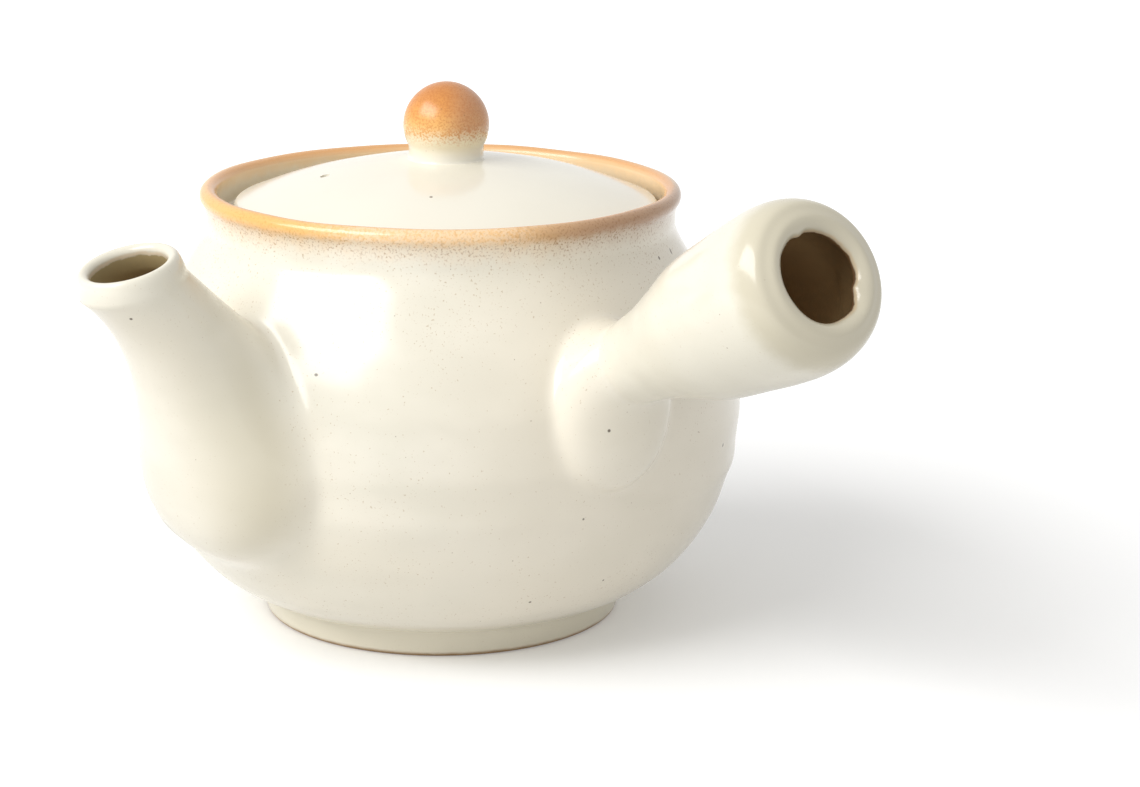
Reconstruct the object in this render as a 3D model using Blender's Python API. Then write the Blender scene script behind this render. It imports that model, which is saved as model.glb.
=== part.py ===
# A side-handled teapot in glazed stoneware, with a loose lid that lifts off.
# Lengths are in metres, angles in degrees, and +Z is up. The handle points along +X
# and the spout a little past a right angle from it. The origin lies under the middle
# of the whole pot, on the surface that it stands on.

import math

import bmesh
import bpy
from mathutils import Vector

# Body: foot ring, thrown wall, collar and the gallery that carries the lid.
foot_radius = 0.0330
foot_spread = 0.0004
foot_height = 0.0050
foot_ring_width = 0.0052
foot_recess = 0.0034
foot_edge_round = 0.0006
floor_thickness = 0.0044
belly_radius = 0.0554
belly_height = 0.0410
neck_radius = 0.0430
neck_height = 0.0735
wall = 0.0042
rim_radius = 0.0440
rim_rise = 0.0050
lip_radius = 0.0016
gallery_drop = 0.0044
gallery_radius = 0.0360
gallery_thickness = 0.0032

# The rim stands above the neck, and the gallery lies below the middle of the rim.
rim_height = neck_height + rim_rise
gallery_height = rim_height - gallery_drop

# Spout: a wide root on the belly that rises to a small round mouth.
spout_angle = -80.6
spout_reach = 0.0167
spout_mouth_height = 0.0747
spout_mouth_radius = 0.0088
spout_bore_radius = 0.00685
spout_mouth_tilt = 74.4
spout_lip_drop = 0.0018
spout_wall = 0.0034
spout_root_bottom = 0.0211
spout_root_top = 0.0598
spout_root_half_width = 0.0243
spout_root_depth = 0.0094

# Strainer: a pierced clay dome inside the pot, over the opening to the spout.
opening_radius = 0.0145
strainer_overlap = 0.0030
strainer_depth = 0.0120
strainer_wall = 0.0024
strainer_hole_radius = 0.0009
strainer_hole_pitch = 0.0033
strainer_ring_count = 4

# Handle: a hollow tube, flared into a pad on the belly and open at its outer end.
handle_tilt = 26.5
handle_axis_height = 0.0292
handle_waist_reach = 0.0036
handle_length = 0.0530
handle_waist_radius = 0.00745
handle_end_radius = 0.0147
handle_mouth_radius = 0.0074
handle_wall = 0.0036
handle_end_round = 0.0102
handle_lip_radius = 0.0020
pad_bottom = 0.0345
pad_top = 0.0640
pad_half_width = 0.0140
pad_depth = 0.0030

# Lid: a shallow dome with a skirt that drops inside the gallery, and its ball knob.
lid_rim_gap = 0.0020
lid_edge_thickness = 0.0030
lid_edge_round = 0.0008
lid_rise = 0.0076
lid_thickness = 0.0034
skirt_play = 0.0016
skirt_depth = 0.0066
skirt_thickness = 0.0028
skirt_edge_round = 0.0010
vent_radius = 0.0009
vent_distance = 0.0225
vent_angle = -112.0
knob_radius = 0.00785
knob_neck_radius = 0.0069
knob_base_radius = 0.0076
knob_height = 0.01385
# The lid rests to one side in its play, this far and in this direction.
lid_slip_share = 0.6
lid_slip_angle = 53.3

# Fits: the joint left between pieces that touch, and how far a cutter runs past.
seat_gap = 0.0003
cut_overrun = 0.0040
weld_distance = 0.000001

# Facets.
round_steps = 48
tube_steps = 32
curve_steps = 6
arc_steps = 5
hole_steps = 6
smooth_angle = 40.0

# Outline shares, all chosen along the sizes above.
# Each pair is a control point of a curve, as shares of the curve's own span.
flank_shares = ((0.57, 0.083), (1.0, 0.472))
shoulder_rise_share = 0.52
shoulder_fall_share = 0.154
spout_outer_shares = ((0.69, -0.12), (0.30, 0.645))
spout_inner_shares = ((0.0, 0.03), (0.29, 0.17))
spout_width_shares = (0.90, -0.10)
handle_swell_shares = ((0.13, 0.13), (0.28, 0.41), (0.45, 0.74), (0.60, 0.87), (0.73, 0.97))
heel_start_share = 0.78
heel_end_share = 0.15
saddle_start_share = 0.40
saddle_end_share = 0.35
pad_width_shares = (0.97, 0.18)
handle_throat_shares = ((0.40, 0.62), (0.95, 0.94))
floor_dish_power = 3
floor_points_share = (0.35, 0.65, 0.85)
lip_start_angle = -35.0
knob_neck_share = 0.12


def clear_scene():
    for item in list(bpy.data.objects):
        bpy.data.objects.remove(item, do_unlink=True)


def glaze(name, colour, roughness, coat):
    material = bpy.data.materials.new(name)
    material.use_nodes = True
    shader = material.node_tree.nodes["Principled BSDF"]
    shader.inputs["Base Color"].default_value = (*colour, 1.0)
    shader.inputs["Roughness"].default_value = roughness
    shader.inputs["Metallic"].default_value = 0.0
    shader.inputs["Coat Weight"].default_value = coat
    return material


# Points of a flat curve are pairs: a distance from the pot's axis and a height.

def bezier(start, first, second, end, steps):
    points = []
    for step in range(steps + 1):
        t = step / steps
        weights = ((1 - t) ** 3, 3 * (1 - t) ** 2 * t, 3 * (1 - t) * t ** 2, t ** 3)
        corners = (start, first, second, end)
        points.append(tuple(sum(w * c[axis] for w, c in zip(weights, corners)) for axis in (0, 1)))
    return points


def along(start, end, shares):
    return (start[0] + shares[0] * (end[0] - start[0]), start[1] + shares[1] * (end[1] - start[1]))


def arc(centre, radius, start_angle, end_angle, steps):
    points = []
    for step in range(steps + 1):
        angle = math.radians(start_angle + (end_angle - start_angle) * step / steps)
        points.append((centre[0] + radius * math.cos(angle), centre[1] + radius * math.sin(angle)))
    return points


def offset(points, distance):
    # Moves an outline that runs upwards away from the pot's axis, square to itself.
    moved = []
    for index, point in enumerate(points):
        before = points[max(index - 1, 0)]
        after = points[min(index + 1, len(points) - 1)]
        run = Vector((after[0] - before[0], after[1] - before[1])).normalized()
        moved.append((point[0] + distance * run.y, point[1] - distance * run.x))
    return moved


def radius_at(points, height):
    for low, high in zip(points, points[1:]):
        if low[1] <= height <= high[1]:
            return low[0] + (high[0] - low[0]) * (height - low[1]) / (high[1] - low[1])
    return points[-1][0]


# Solids.

def new_object(name, builder, material=None):
    mesh = bpy.data.meshes.new(name)
    bmesh.ops.recalc_face_normals(builder, faces=builder.faces)
    builder.to_mesh(mesh)
    builder.free()
    item = bpy.data.objects.new(name, mesh)
    bpy.context.scene.collection.objects.link(item)
    if material:
        mesh.materials.append(material)
        mesh.shade_smooth()
        mesh.set_sharp_from_angle(angle=math.radians(smooth_angle))
    return item


def turned(name, outline, material=None, steps=round_steps):
    # Spins an outline about the Z axis. One that starts and ends on the axis is solid.
    builder = bmesh.new()
    verts = [builder.verts.new((radius, 0, height)) for radius, height in outline]
    edges = [builder.edges.new(pair) for pair in zip(verts, verts[1:])]
    bmesh.ops.spin(builder, geom=verts + edges, cent=(0, 0, 0), axis=(0, 0, 1),
                   angle=math.tau, steps=steps, use_merge=True)
    bmesh.ops.remove_doubles(builder, verts=builder.verts, dist=weld_distance)
    return new_object(name, builder, material)


def lofted(name, rings, material):
    # Skins closed rings in order and joins the last one to the first.
    builder = bmesh.new()
    loops = [[builder.verts.new(point) for point in ring] for ring in rings]
    for near, far in zip(loops, loops[1:] + loops[:1]):
        for index in range(len(near)):
            after = (index + 1) % len(near)
            builder.faces.new((near[index], near[after], far[after], far[index]))
    return new_object(name, builder, material)


def cut(item, cutter, operation="DIFFERENCE"):
    cutter.hide_render = True
    cutter.display_type = "WIRE"
    modifier = item.modifiers.new(cutter.name, "BOOLEAN")
    modifier.operation = operation
    modifier.solver = "EXACT"
    modifier.object = cutter


def rod(name, radius, start, end, steps):
    builder = bmesh.new()
    span = Vector(end) - Vector(start)
    bmesh.ops.create_cone(builder, cap_ends=True, segments=steps, radius1=radius,
                          radius2=radius, depth=span.length)
    turn = span.to_track_quat("Z", "Y").to_matrix().to_4x4()
    turn.translation = (Vector(start) + Vector(end)) / 2
    bmesh.ops.transform(builder, matrix=turn, verts=builder.verts)
    return new_object(name, builder)


# A tube stands in an upright plane through the pot's axis. One section of it lies
# between a lower and an upper point of that plane and has a half width across it.

def section(lower, upper, half_width, inset, direction):
    across = Vector((-direction.y, direction.x, 0))
    centre = Vector(((lower[0] + upper[0]) / 2, (lower[1] + upper[1]) / 2))
    reach = Vector(((upper[0] - lower[0]) / 2, (upper[1] - lower[1]) / 2))
    reach *= 1 - inset / reach.length
    points = []
    for step in range(tube_steps):
        angle = math.tau * step / tube_steps
        flat = centre + reach * math.sin(angle)
        side = across * (half_width - inset) * math.cos(angle)
        points.append(direction * flat.x + Vector((0, 0, flat.y)) + side)
    return points


def heading(angle):
    return Vector((math.cos(math.radians(angle)), math.sin(math.radians(angle)), 0))


# Outlines that several pieces share.

def wall_outline():
    foot_top = (foot_radius + foot_spread, foot_height)
    belly = (belly_radius, belly_height)
    neck = (neck_radius, neck_height)
    rise = neck_height - belly_height
    flank = bezier(foot_top, along(foot_top, belly, flank_shares[0]),
                   along(foot_top, belly, flank_shares[1]), belly, curve_steps)
    shoulder = bezier(belly, (belly_radius, belly_height + shoulder_rise_share * rise),
                      (neck_radius, neck_height - shoulder_fall_share * rise), neck, curve_steps)
    return flank + shoulder[1:]


def inner_outline():
    # The inside of the wall, from the edge of the floor up to below the gallery.
    ledge_bottom = gallery_height - gallery_thickness
    inside = offset(wall_outline(), -wall)
    return [point for point in inside if point[1] < ledge_bottom - gallery_thickness]


def collar_inner_radius():
    return rim_radius - 2 * lip_radius


def build_body(material):
    ring_inner = foot_radius - foot_ring_width
    edge = foot_edge_round
    foot = [(0, foot_recess), (ring_inner - edge, foot_recess), (ring_inner, foot_recess - edge),
            (ring_inner, edge), (ring_inner + edge, 0), (foot_radius - edge, 0), (foot_radius, edge)]
    lip_centre = (rim_radius - lip_radius, rim_height)
    lip = arc(lip_centre, lip_radius, lip_start_angle, 180, arc_steps + 2)
    ledge_bottom = gallery_height - gallery_thickness
    ledge_round = gallery_thickness / 4
    gallery = [(collar_inner_radius(), gallery_height + ledge_round),
               (collar_inner_radius() - ledge_round, gallery_height),
               (gallery_radius + ledge_round, gallery_height),
               (gallery_radius, gallery_height - ledge_round),
               (gallery_radius, ledge_bottom + ledge_round),
               (gallery_radius + ledge_round, ledge_bottom)]
    inside = inner_outline()
    floor_height = foot_recess + floor_thickness
    floor_radius, floor_edge = inside[0]
    floor = []
    for share in reversed(floor_points_share):
        dish = (floor_edge - floor_height) * share ** floor_dish_power
        floor.append((share * floor_radius, floor_height + dish))
    outline = foot + wall_outline() + lip + gallery + inside[::-1] + floor + [(0, floor_height)]
    return turned("pot_body", outline, material)


def seat_solid(name):
    # The body's outside, larger by the joint, which trims what is luted onto it.
    surface = offset(wall_outline(), seat_gap)
    return turned(name, [(0, surface[0][1])] + surface + [(0, surface[-1][1])])


def cavity_solid(name):
    # The room inside the body, smaller by the joint.
    surface = offset(inner_outline(), -seat_gap)
    return turned(name, [(0, surface[0][1])] + surface + [(0, surface[-1][1])])


def opening_height():
    return (spout_root_bottom + spout_root_top) / 2


def opening_cutter():
    direction = heading(spout_angle)
    height = Vector((0, 0, opening_height()))
    reach = belly_radius + cut_overrun
    return rod("spout_opening", opening_radius, direction * gallery_radius / 2 + height,
               direction * reach + height, round_steps // 2)


def build_spout(material):
    direction = heading(spout_angle)
    root = belly_radius - spout_root_depth
    mouth = Vector((belly_radius + spout_reach, spout_mouth_height))
    tilt = math.radians(spout_mouth_tilt)
    outward = Vector((math.cos(tilt), math.sin(tilt)))
    across = Vector((outward.y, -outward.x))
    lip = (spout_mouth_radius - spout_bore_radius) / 2
    brim = mouth - outward * spout_lip_drop
    outer_end = brim + across * spout_mouth_radius
    inner_end = brim - across * spout_mouth_radius
    outer_start = (root, spout_root_bottom)
    inner_start = (root, spout_root_top)
    steps = curve_steps + 3
    outer = bezier(outer_start, along(outer_start, outer_end, spout_outer_shares[0]),
                   along(outer_start, outer_end, spout_outer_shares[1]), outer_end, steps)
    inner = bezier(inner_start, along(inner_start, inner_end, spout_inner_shares[0]),
                   along(inner_start, inner_end, spout_inner_shares[1]), inner_end, steps)
    widths = [spout_mouth_radius + share * (spout_root_half_width - spout_mouth_radius)
              for share in spout_width_shares]
    half = bezier((spout_root_half_width, 0), (widths[0], 0), (widths[1], 0),
                  (spout_mouth_radius, 0), steps)
    rings = [section(low, high, width, 0, direction)
             for low, high, (width, _) in zip(outer, inner, half)]
    # The lip is rounded over from the brim, which lies a little below the mouth.
    middle = spout_mouth_radius - lip
    for radius, rise in arc((middle, 0), lip, 0, 180, 2 * arc_steps)[1:-1]:
        drop = spout_lip_drop * (1 - rise / lip) if radius > middle else 0
        centre = mouth + outward * (rise - drop)
        rings.append(section(centre + across * radius, centre - across * radius, radius, 0, direction))
    for step in range(steps, -1, -1):
        share = step / steps
        inset = spout_wall + share * (2 * lip - spout_wall)
        rings.append(section(outer[step], inner[step], half[step][0], inset, direction))
    return lofted("spout", rings, material)


def build_strainer(material):
    direction = heading(spout_angle)
    base = opening_radius + strainer_overlap
    sphere = (base ** 2 + strainer_depth ** 2) / (2 * strainer_depth)
    inside = radius_at(inner_outline(), opening_height())
    centre = direction * (inside - strainer_depth + sphere) + Vector((0, 0, opening_height()))
    outer = arc((0, 0), sphere, 90, 0, curve_steps)
    inner = arc((0, 0), sphere - strainer_wall, 0, 90, curve_steps)
    # The cap is turned about its own axis, which then points at the pot's axis.
    outline = [(0, sphere)] + outer[1:] + inner[:-1] + [(0, sphere - strainer_wall)]
    cap = turned("tea_strainer", outline, material, round_steps // 2)
    cap.rotation_mode = "QUATERNION"
    cap.rotation_quaternion = (-direction).to_track_quat("Z", "Y")
    cap.location = centre
    cut(cap, cavity_solid("pot_cavity"), "INTERSECT")

    builder = bmesh.new()
    across = Vector((-direction.y, direction.x, 0))
    upward = Vector((0, 0, 1))
    for ring in range(strainer_ring_count + 1):
        lean = ring * strainer_hole_pitch / sphere
        count = max(6 * ring, 1)
        for place in range(count):
            turn = math.tau * (place + ring / 2) / count
            spoke = across * math.cos(turn) + upward * math.sin(turn)
            aim = -direction * math.cos(lean) + spoke * math.sin(lean)
            pose = aim.to_track_quat("Z", "Y").to_matrix().to_4x4()
            pose.translation = centre + aim * (sphere - strainer_wall / 2)
            bmesh.ops.create_cone(builder, cap_ends=True, segments=hole_steps,
                                  radius1=strainer_hole_radius, radius2=strainer_hole_radius,
                                  depth=2 * strainer_wall, matrix=pose)
    cut(cap, new_object("strainer_holes", builder))
    return cap


def build_handle(material):
    direction = heading(0)
    tilt = math.radians(handle_tilt)
    forward = Vector((math.cos(tilt), math.sin(tilt)))
    square = Vector((-forward.y, forward.x))
    waist_out = belly_radius + handle_waist_reach
    waist = Vector((waist_out, handle_axis_height + waist_out * math.tan(tilt)))
    low_start = Vector((radius_at(wall_outline(), pad_bottom) - pad_depth, pad_bottom))
    high_start = Vector((radius_at(wall_outline(), pad_top) - pad_depth, pad_top))
    low_end = waist - square * handle_waist_radius
    high_end = waist + square * handle_waist_radius

    heel_bend = along(low_start, low_end, (heel_start_share, 0))
    heel_rise = low_end - forward * heel_end_share * (low_end - low_start).length
    saddle_bend = along(high_start, high_end, (saddle_start_share, 0))
    saddle_rise = high_end - forward * saddle_end_share * (high_end - high_start).length
    lower = bezier(low_start, heel_bend, heel_rise, low_end, curve_steps)
    upper = bezier(high_start, saddle_bend, saddle_rise, high_end, curve_steps)
    widths = [handle_waist_radius + share * (pad_half_width - handle_waist_radius)
              for share in pad_width_shares]
    half = bezier((pad_half_width, 0), (widths[0], 0), (widths[1], 0),
                  (handle_waist_radius, 0), curve_steps)
    pad = [(low, high, width) for low, high, (width, _) in zip(lower, upper, half)]

    def across(distance, radius):
        centre = waist + forward * distance
        return (centre - square * radius, centre + square * radius, radius)

    swell = handle_end_radius - handle_waist_radius
    tube = [across(length_share * handle_length, handle_waist_radius + radius_share * swell)
            for length_share, radius_share in handle_swell_shares]
    # The end is rounded over in a long curve, then turned into the mouth by a tight one.
    middle = handle_mouth_radius + handle_lip_radius
    mouth = handle_length - handle_lip_radius
    end = [across(handle_length - handle_end_round * (1 - rise), middle + (handle_end_radius - middle) * out)
           for out, rise in arc((0, 0), 1, 0, 90, arc_steps + 1)]
    end += [across(mouth + rise, radius)
            for radius, rise in arc((middle, 0), handle_lip_radius, 90, 180, arc_steps - 1)[1:]]

    # The throat widens behind the mouth until the wall has its plain thickness.
    last_length_share, last_radius_share = handle_swell_shares[-1]
    throat_length = mouth - last_length_share * handle_length
    bore = handle_waist_radius + last_radius_share * swell - handle_wall
    throat = [across(mouth - length_share * throat_length,
                     handle_mouth_radius + radius_share * (bore - handle_mouth_radius))
              for length_share, radius_share in handle_throat_shares]
    rings = [section(*place, 0, direction) for place in pad + tube + end + throat]
    rings += [section(*place, handle_wall, direction) for place in reversed(pad + tube)]
    return lofted("handle", rings, material)


def lid_top():
    return gallery_height + seat_gap + lid_edge_thickness + lid_rise


def build_lid(material):
    # Heights here count from the gallery that the lid rests on.
    radius = collar_inner_radius() - lid_rim_gap
    bottom = seat_gap
    top = bottom + lid_edge_thickness + lid_rise
    shoulder = bottom + lid_edge_thickness
    dome = ((radius - lid_edge_round) ** 2 + lid_rise ** 2) / (2 * lid_rise)
    skirt_outer = gallery_radius - skirt_play
    skirt_inner = skirt_outer - skirt_thickness
    skirt_end = bottom - skirt_depth
    crown = [(knob_base_radius, top)]
    for step in range(1, curve_steps + 1):
        share = step / curve_steps
        out = knob_base_radius + share * (radius - lid_edge_round - knob_base_radius)
        crown.append((out, top - (dome - math.sqrt(dome ** 2 - out ** 2))))
    edge = arc((radius - lid_edge_round, shoulder - lid_edge_round), lid_edge_round, 75, -90, arc_steps)
    edge = [(out, max(height, bottom)) for out, height in edge]
    flange = [(radius - lid_edge_round, bottom), (skirt_outer, bottom)]
    turn = skirt_edge_round
    skirt = [(skirt_outer, skirt_end + turn), (skirt_outer - turn, skirt_end),
             (skirt_inner + turn, skirt_end), (skirt_inner, skirt_end + turn)]
    hollow = []
    for step in range(curve_steps):
        out = skirt_inner * (1 - step / curve_steps)
        hollow.append((out, top - lid_thickness - (dome - math.sqrt(dome ** 2 - out ** 2))))
    outline = [(0, top)] + crown + edge + flange + skirt + hollow + [(0, top - lid_thickness)]
    lid = turned("lid", outline, material)
    vent = heading(vent_angle) * vent_distance
    low = vent + Vector((0, 0, skirt_end))
    high = vent + Vector((0, 0, top + cut_overrun))
    cutter = rod("vent_hole", vent_radius, low, high, 2 * hole_steps)
    cut(lid, cutter)
    return lid, cutter


def build_knob(material):
    # Heights here count from the gallery too.
    base = lid_top() - gallery_height + seat_gap
    top = base - seat_gap + knob_height
    centre = top - knob_radius
    neck_height_here = base + knob_neck_share * knob_height
    meet = math.degrees(math.acos(knob_neck_radius / knob_radius))
    ball = arc((0, centre), knob_radius, -meet, 90, curve_steps + 2)
    neck_top = ball[0][1]
    outline = [(0, base), (knob_base_radius, base)]
    outline += bezier((knob_base_radius, base), (knob_neck_radius, neck_height_here),
                      (knob_neck_radius, neck_height_here), (knob_neck_radius, neck_top), arc_steps)[1:-1]
    outline += ball[:-1] + [(0, top)]
    return turned("lid_knob", outline, material, tube_steps)


def footprint_centre(items):
    bpy.context.view_layer.update()
    graph = bpy.context.evaluated_depsgraph_get()
    points = []
    for item in items:
        shape = item.evaluated_get(graph)
        points += [shape.matrix_world @ corner.co for corner in shape.to_mesh().vertices]
    across = [point.x for point in points]
    along_y = [point.y for point in points]
    return Vector(((min(across) + max(across)) / 2, (min(along_y) + max(along_y)) / 2, 0))


def empty(name, place):
    item = bpy.data.objects.new(name, None)
    item.location = place
    bpy.context.scene.collection.objects.link(item)
    return item


def main():
    clear_scene()
    cream = glaze("cream_glaze", (0.72, 0.67, 0.54), 0.16, 0.6)
    amber = glaze("amber_glaze", (0.62, 0.30, 0.08), 0.18, 0.6)
    raw_clay = glaze("strainer_clay", (0.46, 0.36, 0.24), 0.40, 0.2)

    body = build_body(cream)
    opening = opening_cutter()
    cut(body, opening)
    seat = seat_solid("body_seat")
    spout = build_spout(cream)
    cut(spout, seat)
    strainer = build_strainer(raw_clay)
    handle = build_handle(cream)
    cut(handle, seat)
    lid, vent = build_lid(cream)
    knob = build_knob(amber)

    # The pot's axis and the lid's own axis carry everything that is turned on them.
    pot_axis = empty("pot_axis", (0, 0, 0))
    slip = lid_slip_share * min(lid_rim_gap, skirt_play)
    lid_seat = empty("lid_seat", heading(lid_slip_angle) * slip + Vector((0, 0, gallery_height)))
    lid_seat.parent = pot_axis
    for item in (lid, vent, knob):
        item.parent = lid_seat
    fixed = [item for item in bpy.data.objects if item.type == "MESH" and item.parent is None]
    for item in fixed:
        item.parent = pot_axis
    pot_axis.location = -footprint_centre([body, spout, strainer, handle, lid, knob])


main()
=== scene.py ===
import math

import bpy
import bmesh
import numpy as np
from mathutils import Matrix, Vector


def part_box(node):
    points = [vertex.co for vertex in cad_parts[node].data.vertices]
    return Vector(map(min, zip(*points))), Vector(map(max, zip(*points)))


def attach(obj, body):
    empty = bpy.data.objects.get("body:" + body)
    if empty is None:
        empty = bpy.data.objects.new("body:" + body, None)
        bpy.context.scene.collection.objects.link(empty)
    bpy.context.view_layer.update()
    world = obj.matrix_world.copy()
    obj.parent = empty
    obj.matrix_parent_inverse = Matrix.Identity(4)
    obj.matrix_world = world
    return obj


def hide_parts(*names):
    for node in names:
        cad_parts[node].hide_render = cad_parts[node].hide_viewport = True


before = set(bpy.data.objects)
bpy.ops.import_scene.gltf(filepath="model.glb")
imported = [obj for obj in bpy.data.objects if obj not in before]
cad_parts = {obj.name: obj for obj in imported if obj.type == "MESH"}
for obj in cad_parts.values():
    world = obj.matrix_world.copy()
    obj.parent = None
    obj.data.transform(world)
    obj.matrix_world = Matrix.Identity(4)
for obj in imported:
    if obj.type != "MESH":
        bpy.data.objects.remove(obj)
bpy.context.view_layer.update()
print("frame loaded")

# The pot's own axis and the lid's, which lies a little to one side of it. The spout's opening
# cuts the body's -Y side, so the pot's axis is measured from the other side.
bodyLow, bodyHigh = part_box("pot_body")
bodyWidth = bodyHigh.x - bodyLow.x
potAxis = Vector(((bodyLow.x + bodyHigh.x) / 2, bodyHigh.y - bodyWidth / 2, 0))
lidLow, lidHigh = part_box("lid")
lidAxis = Vector(((lidLow.x + lidHigh.x) / 2, (lidLow.y + lidHigh.y) / 2, 0))
lidSlip = np.array(lidAxis - potAxis)


# Curves and skins. Lengths are in metres, angles in degrees, and points count from the pot's axis.
# Outlines are pairs: a distance from the axis and a height.

tiny = 1e-9  # keeps divisions away from zero


def way(angle):
    # A step of one metre at an angle
    return np.array([math.cos(math.radians(angle)), math.sin(math.radians(angle))])


def levelWay(angle):
    return np.append(way(angle), 0)


def quarterTurn(step):
    return np.array([-step[1], step[0]])


def circleAngles(steps):
    return np.linspace(0, math.tau, steps, endpoint=False)


def turnedFrom(angles, place):
    # How many degrees angles lie from a place, the short way round
    return np.degrees(np.angle(np.exp(1j * (angles - math.radians(place)))))


def bell(value, width):
    return np.exp(-(value / width) ** 2)


def bend(start, first, second, end, steps):
    t = np.linspace(0, 1, steps + 1)[:, None]
    a, b, c, d = (np.asarray(corner, float) for corner in (start, first, second, end))
    return (1 - t) ** 3 * a + 3 * (1 - t) ** 2 * t * b + 3 * (1 - t) * t ** 2 * c + t ** 3 * d


def partWay(start, end, shares):
    start, end = np.asarray(start, float), np.asarray(end, float)
    return start + np.asarray(shares) * (end - start)


def swept(start, end, shares, steps):
    # A bend whose two inner corners lie at shares of the way, across and up
    return bend(start, partWay(start, end, shares[0]), partWay(start, end, shares[1]), end, steps)


def narrowing(wide, narrow, shares, steps):
    # Half widths from wide to narrow. A share of 1 is still wide.
    first, second = (narrow + share * (wide - narrow) for share in shares)
    return bend((wide,), (first,), (second,), (narrow,), steps)[:, 0]


def cornered(start, corner, end, t):
    return (1 - t) ** 2 * start + 2 * (1 - t) * t * corner + t ** 2 * end


def arc(centre, radius, firstAngle, lastAngle, steps):
    angle = np.radians(np.linspace(firstAngle, lastAngle, steps + 1))
    return np.stack([centre[0] + radius * np.cos(angle), centre[1] + radius * np.sin(angle)], 1)


def softened(corners, steps=6):
    # An outline of straight runs. Its corners, given as (distance, height, size), are rounded,
    # and none takes more than half of the run beside it.
    points = []
    for index, (x, y, size) in enumerate(corners):
        here = np.array([x, y])
        if size == 0 or index in (0, len(corners) - 1):
            points.append(here[None])
            continue
        neighbours = [np.array(corners[index + step][:2]) for step in (-1, 1)]
        start, end = (here + (there - here) * min(size / np.linalg.norm(there - here), 0.5)
                      for there in neighbours)
        points.append(cornered(start, here, end, np.linspace(0, 1, steps + 1)[:, None]))
    return np.concatenate(points)


def sideways(points, distance):
    # Moves an outline that runs upwards away from the axis, square to itself
    run = np.gradient(points, axis=0)
    run /= np.linalg.norm(run, axis=1)[:, None]
    return points + distance * np.stack([run[:, 1], -run[:, 0]], 1)


def smoothThrough(places, values, wanted):
    # A smooth line through given values, without overshoot
    places, values = np.asarray(places, float), np.asarray(values, float)
    steep = np.diff(values) / np.diff(places)
    inner = 2 * steep[1:] * steep[:-1] / (steep[1:] + steep[:-1] + tiny)
    tangent = np.concatenate([steep[:1], inner, steep[-1:]])
    index = np.clip(np.searchsorted(places, wanted) - 1, 0, len(steep) - 1)
    span = places[index + 1] - places[index]
    t = (wanted - places[index]) / span
    return ((2 * t ** 3 - 3 * t ** 2 + 1) * values[index] + (t ** 3 - 2 * t ** 2 + t) * span * tangent[index]
            + (3 * t ** 2 - 2 * t ** 3) * values[index + 1] + (t ** 3 - t ** 2) * span * tangent[index + 1])


def smoothStep(value, low, high):
    t = np.clip((value - low) / (high - low), 0, 1)
    return t * t * (3 - 2 * t)


def smoothen(mesh, sharpAngle):
    mesh.shade_smooth()
    mesh.set_sharp_from_angle(angle=math.radians(sharpAngle))


def skin(name, rings, closed=False, sharpAngle=50):
    # Joins rings of points by quads. A ring of one point is a pole.
    starts = np.cumsum([0] + [len(ring) for ring in rings]).tolist()
    pairs = [(index, index + 1) for index in range(len(rings) - 1)]
    if closed:
        pairs.append((len(rings) - 1, 0))
    faces = []
    for near, far in pairs:
        count = max(len(rings[near]), len(rings[far]))
        for index in range(count):
            after = (index + 1) % count
            if len(rings[near]) == 1:
                faces.append((starts[near], starts[far] + after, starts[far] + index))
            elif len(rings[far]) == 1:
                faces.append((starts[near] + index, starts[near] + after, starts[far]))
            else:
                faces.append((starts[near] + index, starts[near] + after, starts[far] + after, starts[far] + index))
    mesh = bpy.data.meshes.new(name)
    mesh.from_pydata(np.concatenate(rings).tolist(), [], faces)
    builder = bmesh.new()
    builder.from_mesh(mesh)
    bmesh.ops.recalc_face_normals(builder, faces=builder.faces)
    builder.to_mesh(mesh)
    builder.free()
    smoothen(mesh, sharpAngle)
    piece = bpy.data.objects.new(name, mesh)
    bpy.context.scene.collection.objects.link(piece)
    piece.location = potAxis
    return piece


def spun(outline, steps):
    # Rings of an outline turned about the axis
    angle = circleAngles(steps)
    rings = []
    for radius, height in outline:
        turns = angle if radius > tiny else angle[:1]
        rings.append(np.stack([radius * np.cos(turns), radius * np.sin(turns), np.full(len(turns), height)], 1))
    return rings


def rod(name, radius, start, end, steps):
    start, end = Vector(start), Vector(end)
    turn = (end - start).to_track_quat("Z", "Y")
    circle = [turn @ Vector((radius * math.cos(a), radius * math.sin(a), 0)) for a in circleAngles(steps)]
    near, far = (np.array([centre + point for point in circle]) for centre in (start, end))
    return skin(name, [np.array([start]), near, far, np.array([end])])


def cutAway(piece, cutter, sharpAngle=40):
    modifier = piece.modifiers.new(cutter.name, "BOOLEAN")
    modifier.operation = "DIFFERENCE"
    modifier.solver = "EXACT"
    modifier.object = cutter
    bpy.context.view_layer.update()
    shape = piece.evaluated_get(bpy.context.evaluated_depsgraph_get())
    mesh = bpy.data.meshes.new_from_object(shape)
    piece.modifiers.clear()
    piece.data = mesh
    bpy.data.objects.remove(cutter)
    smoothen(mesh, sharpAngle)


# Pot body

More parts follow.
